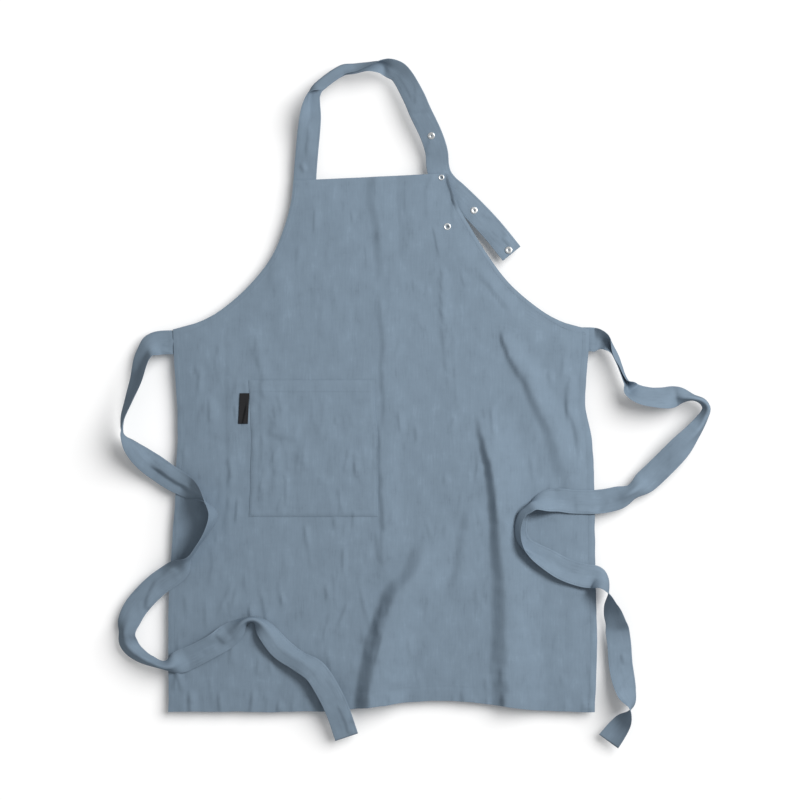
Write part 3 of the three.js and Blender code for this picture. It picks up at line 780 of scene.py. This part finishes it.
def metal_material():
    """Bright nickel with the small marks of use."""
    material, tree, shader = new_material("snap_metal", Metallic=1.0)
    marks = grain(tree, 700, 3)
    base_colour(tree, shader, marks, [(0.3, (0.76, 0.79, 0.8)), (0.7, (0.92, 0.94, 0.95))])
    rough = add_node(tree, "ShaderNodeMapRange", To_Min=0.3, To_Max=0.48)
    tree.links.new(marks, rough.inputs["Value"])
    tree.links.new(rough.outputs["Result"], shader.inputs["Roughness"])
    return material


def core_cloth_and_shade_material():
    """Grey in the middle of a snap: the cloth inside an open ring, painted shade in a socket's hole."""
    material, tree, shader = new_material("snap_core_cloth_and_shade", Roughness=0.45)
    base_colour(tree, shader, grain(tree, 1200, 2), [(0.3, (0.17, 0.21, 0.25)), (0.7, (0.3, 0.36, 0.42))])
    return material


linen = linen_material()
thread = thread_material()
woven = label_material()
metal = metal_material()
core_cloth_and_shade = core_cloth_and_shade_material()


# The sheet

def body_cloth():
    across, row = np.meshgrid(columns, rows)
    x, y = sheet_xy(across, row)
    return laid_piece("body_cloth", x, y, underside(x, y), surface(x, y), linen)


def pocket_cloth():
    """The pocket lies on the sheet and stands a little open towards its mouth."""
    across, row = np.meshgrid(rimmed(0, POCKET_WIDTH, POCKET_STEP),
                              rimmed(POCKET_BOTTOM, POCKET_TOP, POCKET_STEP))
    x, y = sheet_xy(across + POCKET_FROM_SIDE, row)
    seam = np.min([across, POCKET_WIDTH - across, row - POCKET_BOTTOM], axis=0)
    pressed = 1 - smooth((seam + PRESS_START) / PRESS_BREADTH)
    base = surface(x, y) + GAP * (1 - PRESS_CLOSES * pressed)
    side = 2 * across / POCKET_WIDTH - 1
    depth = (row - POCKET_BOTTOM) / (POCKET_TOP - POCKET_BOTTOM)
    opened = POCKET_MOUTH * (1 - side ** 4) * smooth(depth / POCKET_OPENS)
    mouth = POCKET_TOP - row
    height, *bumps = CRINKLE
    loose = smooth(seam / CRINKLE_SEAM) * smooth(mouth / CRINKLE_MOUTH + CRINKLE_LEFT)
    crinkle = height * (1 + ripple(x, y, *bumps)) * loose
    folded = pocket_creases.rise(x, y) + sum(fold.rise(x, y) for fold in folds_of_pocket)
    low = base + opened + crinkle + folded * smooth(seam / POCKET_TURNED)
    turned = SEAM_RISE * smooth(1 - (seam - POCKET_TURNED) / TURNED_SLOPE)
    turned += MOUTH_RISE * smooth(1 - (mouth - POCKET_HEM) / TURNED_SLOPE)
    sunk = groove(SEAM_GROOVE, seam - POCKET_SEAM) + groove(MOUTH_GROOVE, mouth - POCKET_HEM)
    flattened = PRESSED * np.maximum(pressed, smooth(1 - mouth / MOUTH_PRESS))
    high = low + CLOTH + np.minimum(TURNED_MOST, turned) - sunk - flattened
    piece = laid_piece("pocket_cloth", x, y, low, high, linen, POCKET_CUT)
    return piece, (across[0], row[:, 0], np.stack([x, y, high], -1))


def with_ups(line):
    """A stitched line with its upward directions."""
    return line, np.tile([0.0, 0.0, 1.0], (len(line), 1))


def inward(line, distance, side):
    """A line of the sheet's edge moved inwards; side is 1 where inwards is to the left of it."""
    heading = unit(np.gradient(line, axis=0))
    return line + np.stack([-heading[:, 1], heading[:, 0]], -1) * side * np.reshape(distance, (-1, 1))


def body_stitches():
    runs = []
    for name, side in (("left", -1), ("right", 1)):
        edge = EDGES[name]
        line = inward(edge, side_hem(edge[:, 1]) - HEM_STITCH, side)
        keep = (line[:, 1] > HEM_LINE + STITCH_END) & (line[:, 1] < BIB_TOP - STITCH_END)
        runs.append(line[keep])
    for name, depth, side in (("bottom", BOTTOM_HEM, 1), ("top", TOP_HEM, -1)):
        line = inward(EDGES[name], depth - HEM_STITCH, side)
        runs.append(line[BARE_POINTS:-BARE_POINTS])
    lines = [with_ups(np.column_stack([line, surface(*line.T)])) for line in runs]
    return stitch_piece("body_stitches", lines, thread)


def pocket_stitches(grid):
    across, row, upper = grid

    def nearest(values, value):
        return int(np.argmin(np.abs(values - value)))

    first = nearest(across, POCKET_SEAM)
    last = nearest(across, POCKET_WIDTH - POCKET_SEAM)
    bottom = nearest(row, POCKET_BOTTOM + POCKET_SEAM)
    hem = nearest(row, POCKET_TOP - POCKET_HEM)
    between = slice(first, last + 1)
    lines = [upper[bottom:, first], upper[bottom:, last], upper[bottom, between], upper[hem, between]]
    return stitch_piece("pocket_stitches", [with_ups(line) for line in lines], thread)


# Tapes

class Tape:
    """A tape along the rows of a table, whose two halves rise from a crease along its middle."""

    def __init__(self, run, width, folds, over=None):
        self.half = width / 2
        keys = run_keys(run)
        self.length = keys[-1]
        self.curve = through_rows(keys, run)
        self.across = np.linspace(-self.half, self.half, TAPE_POINTS)
        self.stations = spaced(0, self.length, TAPE_STATION)
        self.raised = np.zeros_like(self.stations)
        count = round(self.length / TAPE_CREASE_STEP)
        area = (count, -self.half, self.half, 0, self.length, TAPE_CREASE_STRENGTH)
        self.creases = Creases(round(self.length), [area], TAPE_CREASE_LEAN)
        self.folds = [Fold(*row) for row in folds]
        if over is not None:
            self.raised = self.clearance(over)

    def section(self, values, side):
        """How far points across the tape lie to the left and up, from shares of the half width."""
        left, right = np.radians(values[..., 2, None]), np.radians(values[..., 3, None])
        slope = (left + right) * smooth(self.across / (2 * CREASE) + 0.5) - right
        step = self.across[1] - self.across[0]

        def summed(rate):
            total = np.cumsum(rate[..., 1:] + rate[..., :-1], axis=-1) * step / 2
            return np.concatenate([np.zeros_like(total[..., :1]), total], -1)

        out, rise = summed(np.cos(slope)), summed(np.sin(slope))
        out = out - (out.max(-1, keepdims=True) + out.min(-1, keepdims=True)) / 2
        rise = rise - rise.min(-1, keepdims=True)
        place = (side[..., None] + 1) / 2 * (len(self.across) - 1)
        first = np.clip(place.astype(int), 0, len(self.across) - 2)
        share = place - first

        def picked(row):
            before = np.take_along_axis(row, first, -1)
            after = np.take_along_axis(row, first + 1, -1)
            return (before + (after - before) * share)[..., 0]

        return picked(out), picked(rise), np.abs(np.cos(picked(slope)))

    def middle(self, distance, side):
        """The middle of the wall at distances along the tape and shares of its half width."""
        distance = np.clip(distance, 0, self.length)
        values = self.curve(distance)
        ahead = self.curve(distance + 1)[..., :2] - self.curve(distance - 1)[..., :2]
        heading = unit(ahead)
        out, rise, level = self.section(values, side)
        left = side * self.half
        crumpled = self.creases.rise(left, distance) + sum(fold.rise(left, distance) for fold in self.folds)
        swell, *bumps = TAPE_WAVE
        wave = ripple(distance, left, *bumps, self.half + self.length) * (1 - TAPE_WAVE_FALL * side ** 2)
        height = np.maximum(GAP, values[..., 4]) + TAPE / 2
        height = height + np.interp(distance, self.stations, self.raised)
        x = values[..., 0] - heading[..., 1] * out
        y = values[..., 1] + heading[..., 0] * out
        return np.stack([x, y, height + rise + level * crumpled + swell * wave], -1)

    def clearance(self, over):
        """How much the tape has to rise along its length to lie on the sheet, past a length."""
        along, side = np.meshgrid(self.stations, np.linspace(-1, 1, CLEAR_POINTS), indexing="ij")
        x, y, z = np.moveaxis(self.middle(along, side), -1, 0)
        sides = skirt_sides(y)
        inside = (x > sides[..., 1]) & (x < sides[..., 2]) & (y > HEM_LINE)
        needed = np.where(inside, surface(x, y) + GAP + TAPE / 2 - z, 0).max(-1)
        needed = np.maximum(needed, 0) * (self.stations > over)
        reach = CLEAR_STATIONS
        window = 2 * reach + 1
        wide = np.array([needed[max(0, at - reach):at + reach + 1].max() for at in range(len(needed))])
        return np.convolve(np.pad(wide, reach, mode="edge"), np.full(window, 1 / window), "valid")

    def frame_at(self, distance, side, step=1):
        """Middle of the wall with the heading, the way to the left and the way out of the cloth."""
        share = step / self.half
        ahead = self.middle(distance + step, side) - self.middle(distance - step, side)
        outer, inner = np.minimum(1, side + share), np.maximum(-1, side - share)
        across = self.middle(distance, outer) - self.middle(distance, inner)
        heading, left = unit(ahead), unit(across)
        return self.middle(distance, side), heading, left, unit(np.cross(heading, left))

    def point(self, distance, side, face):
        """A point at a share of the half width to the left, on the upper (1) or lower (-1) face."""
        middle, *_, out = self.frame_at(distance, side)
        wall = TAPE / 2 * np.sqrt(np.maximum(TAPE_EDGE, 1 - np.abs(side) ** TAPE_ROUNDING))
        wall = wall - groove(TAPE_GROOVE, (1 - np.abs(side)) * self.half - TAPE_SEAM)
        return middle + out * (face * wall)[..., None]

    def piece(self, name):
        shares = TAPE_SHARES + [-share for share in TAPE_SHARES[-2::-1]]
        along, side = np.meshgrid(spaced(0, self.length, TAPE_STEP), shares, indexing="ij")
        upper = self.point(along, side, 1)
        lower = self.point(along, side, -1)
        uv = np.stack([side * self.half, along], -1)
        return closed_wall(name, lower, upper, uv, linen)

    def stitches(self, name):
        along = spaced(SEAM_STEP, self.length - SEAM_STEP, SEAM_STEP)
        runs = []
        for share in (1 - TAPE_SEAM / self.half, TAPE_SEAM / self.half - 1):
            side = np.full_like(along, share)
            out = self.frame_at(along, side)[-1]
            for face in (1, -1):
                runs.append((self.point(along, side, face), out * face))
        return stitch_piece(name, runs, thread)


# Label and snaps

LABEL_STEP_X, LABEL_STEP_Y = 0.8, 1.2
LABEL_WALL = 0.9
LABEL_LEAN = 2.5  # how far its lower end lies to the left
LABEL_LIFT = 0.5  # how far its outer edge stands up
LABEL_ROUND = 0.06  # share of its width that is rounded
LABEL_EDGE = 0.08  # least squared share of its wall


def label_piece():
    """A bare woven tab, folded over at its outer end and caught in the pocket's seam."""
    low, high = node_box("pocket_label")
    x, y = np.meshgrid(spaced(low[0], high[0], LABEL_STEP_X), spaced(low[1], high[1], LABEL_STEP_Y))
    outer = (x - low[0]) / (high[0] - low[0])
    x = x - LABEL_LEAN * (high[1] - y) / (high[1] - low[1])
    wall = LABEL_WALL * np.sqrt(np.clip(outer / LABEL_ROUND, LABEL_EDGE, 1))
    middle = surface(x, y) + GAP + LABEL_LIFT * (1 - outer) ** 2 + LABEL_WALL / 2
    return laid_piece("label_tab", x, y, middle - wall / 2, middle + wall / 2, woven)


SNAP_SIDES = 48
SNAP_RADIUS = 6.2
FASTENED_SIZE = 0.82  # the closed snap shows a smaller ring
# Profiles about the snap's axis: radius, height above the cloth; the front's first faces are its grey
# middle
# that grey stands for the cloth inside an open ring and is painted shade in a socket's hole
OPEN_RING = [
    (0, 0.1), (3, 0.1), (3.2, 0.45), (3.6, 0.95), (4.3, 1.25), (5.1, 1.2), (5.7, 0.85), (6.1, 0.2),
    (6.1, -0.1),
]
SOCKET = [
    (0, 0.15), (1.3, 0.15), (1.5, 0.6), (2.1, 1.05), (3.1, 1.35), (4.4, 1.4), (5.4, 1.15), (6, 0.65),
    (6.2, 0.1), (6.2, -0.1),
]
BACK_RING = [(3, 0.1), (3.1, -0.5), (3.6, -0.8), (5, -0.8), (5.6, -0.5), (5.8, 0.1)]
CORE_CLOTH_AND_SHADE_LEVELS = 2


def snap_piece(node, seat, wall, profile, size=1):
    """A snap on the front of the cloth with its ring behind; seat is (place, right, up, out)."""
    place, right, upward, out = seat
    points, faces, inner = [], [], []
    for outline, depth, cloth_and_shade_levels in ((profile, 0, CORE_CLOTH_AND_SHADE_LEVELS), (BACK_RING, -wall, 0)):
        first = len(points)
        for radius, height in outline:
            for turn in range(SNAP_SIDES):
                angle = 2 * math.pi * turn / SNAP_SIDES
                across = right * math.cos(angle) + upward * math.sin(angle)
                points.append(place + across * radius * size + out * (height + depth))
        for level in range(len(outline)):
            after = (level + 1) % len(outline)
            for turn in range(SNAP_SIDES):
                follow = (turn + 1) % SNAP_SIDES
                a, b = first + level * SNAP_SIDES, first + after * SNAP_SIDES
                faces.append((a + turn, b + turn, b + follow, a + follow))
                # the middle faces take the grey that is the cloth in an open ring and painted shade in a
                # socket
                inner.append(int(level < cloth_and_shade_levels))
    piece = mesh_piece(node + "_metal", np.array(points), faces, metal)
    piece.data.materials.append(core_cloth_and_shade)
    piece.data.polygons.foreach_set("material_index", inner)
    piece.data.validate()
    return piece


def bib_seat(node):
    low, high = node_box(node)
    x, y, _ = (low + high) / 2
    height = surface(np.array([x]), np.array([y]))[0]
    return (np.array([x, y, height]), *np.eye(3))


def strap_seat(strap, distance):
    at, middle = np.array([distance]), np.zeros(1)
    _, heading, left, out = strap.frame_at(at, middle, SNAP_RADIUS)
    place = strap.point(at, middle, 1)
    return place[0], -left[0], heading[0], out[0]


# Pieces and what they stand for

body = body_cloth()
pocket, pocket_grid = pocket_cloth()
strap_tape = Tape(STRAP_RUN, STRAP_WIDTH, STRAP_FOLDS)
left_tape = Tape(LEFT_RUN, TIE_WIDTH, LEFT_FOLDS, OVER_SHEET)
right_tape = Tape(RIGHT_RUN, TIE_WIDTH, RIGHT_FOLDS, OVER_SHEET)
strap = strap_tape.piece("strap_cloth")
left_tie = left_tape.piece("left_tie_cloth")
right_tie = right_tape.piece("right_tie_cloth")
label = label_piece()
body_thread = body_stitches()
pocket_thread = pocket_stitches(pocket_grid)
strap_thread = strap_tape.stitches("strap_stitches")
left_thread = left_tape.stitches("left_tie_stitches")
right_thread = right_tape.stitches("right_tie_stitches")
closed_snap = snap_piece("snap_fastened", bib_seat("snap_fastened"), HEM, OPEN_RING, FASTENED_SIZE)
spare_snap = snap_piece("snap_bib_spare", bib_seat("snap_bib_spare"), CLOTH, OPEN_RING)
strap_snaps = [
    snap_piece(node, strap_seat(strap_tape, distance), TAPE, SOCKET)
    for node, distance in STRAP_SNAPS.items()
]

STANDS_FOR = [
    (body, "body_panel", "linen"),
    (pocket, "pocket", "linen"),
    (label, "pocket_label", "woven_label"),
    (strap, "neck_strap", "linen"),
    (left_tie, "tie_left", "linen"),
    (right_tie, "tie_right", "linen"),
    (closed_snap, "snap_fastened", "snap_metal"),
    (spare_snap, "snap_bib_spare", "snap_metal"),
    *[(piece, node, "snap_metal") for piece, node in zip(strap_snaps, STRAP_SNAPS)],
]
for piece, node, slot in STANDS_FOR:
    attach(piece, "root")
    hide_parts(node)
for piece in (body_thread, pocket_thread, strap_thread, left_thread, right_thread):
    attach(piece, "root")


# Floor, light and camera: sizes in metres, lens and sensor in millimetres

FLOOR_DROP = 0.015
FLOOR_HALF = 30
FRAME_WIDTH = 1.336
FRAME_CENTRE = (-0.022, 0.0067)
LENS = 180
SENSOR = 36
SKY = 0.4
# Lights: azimuth from +X and elevation in degrees, distance, size, share of full white, what it lights
LIGHTS = {
    "key": (28, 48, 3.6, 1.4, 0.66, "apron"),
    "floor_key": (36, 45, 20, 19, 0.9, "floor"),
}


def floor_piece():
    mesh = bpy.data.meshes.new("floor")
    corners = [(x * FLOOR_HALF, y * FLOOR_HALF, 0) for x, y in ((-1, -1), (1, -1), (1, 1), (-1, 1))]
    mesh.from_pydata(corners, [], [(0, 1, 2, 3)])
    floor = add_object("floor", mesh)
    floor.location.z = -FLOOR_DROP
    white = (0.95, 0.95, 0.95, 1)
    material, _, _ = new_material("floor", Base_Color=white, Roughness=1.0, Specular_IOR_Level=0.0)
    mesh.materials.append(material)
    floor.visible_diffuse = False  # the white floor throws no light back up at the cloth
    floor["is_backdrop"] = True
    return floor


def lights(floor):
    """Soft lights from the upper right, one on the apron and one on the floor, under an even sky."""
    lit = {name: bpy.data.collections.new("lit_" + name) for name in ("apron", "floor")}
    lit["floor"].objects.link(floor)
    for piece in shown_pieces():
        lit["apron"].objects.link(piece)
    for name, (azimuth, elevation, distance, size, share, target) in LIGHTS.items():
        turn, rise = math.radians(azimuth), math.radians(elevation)
        towards = Vector((math.cos(rise) * math.cos(turn), math.cos(rise) * math.sin(turn), math.sin(rise)))
        data = bpy.data.lights.new(name, "AREA")
        data.shape = "DISK"
        data.size = size
        data.energy = share * (math.pi * distance) ** 2 / math.sin(rise)
        light = add_object(name, data)
        light.location = towards * distance
        light.rotation_euler = towards.to_track_quat("Z", "Y").to_euler()
        light.light_linking.receiver_collection = lit[target]
    world = bpy.data.worlds.new("studio")
    bpy.context.scene.world = world
    world.use_nodes = True
    set_inputs(world.node_tree.nodes["Background"], {"Color": (1, 1, 1, 1), "Strength": SKY})


def camera():
    data = bpy.data.cameras.new("camera")
    data.lens = LENS
    data.sensor_width = SENSOR
    eye = add_object("camera", data)
    eye.location = (*FRAME_CENTRE, FRAME_WIDTH * LENS / SENSOR)
    bpy.context.scene.camera = eye


lights(floor_piece())
camera()
bpy.context.scene.view_settings.view_transform = "Standard"
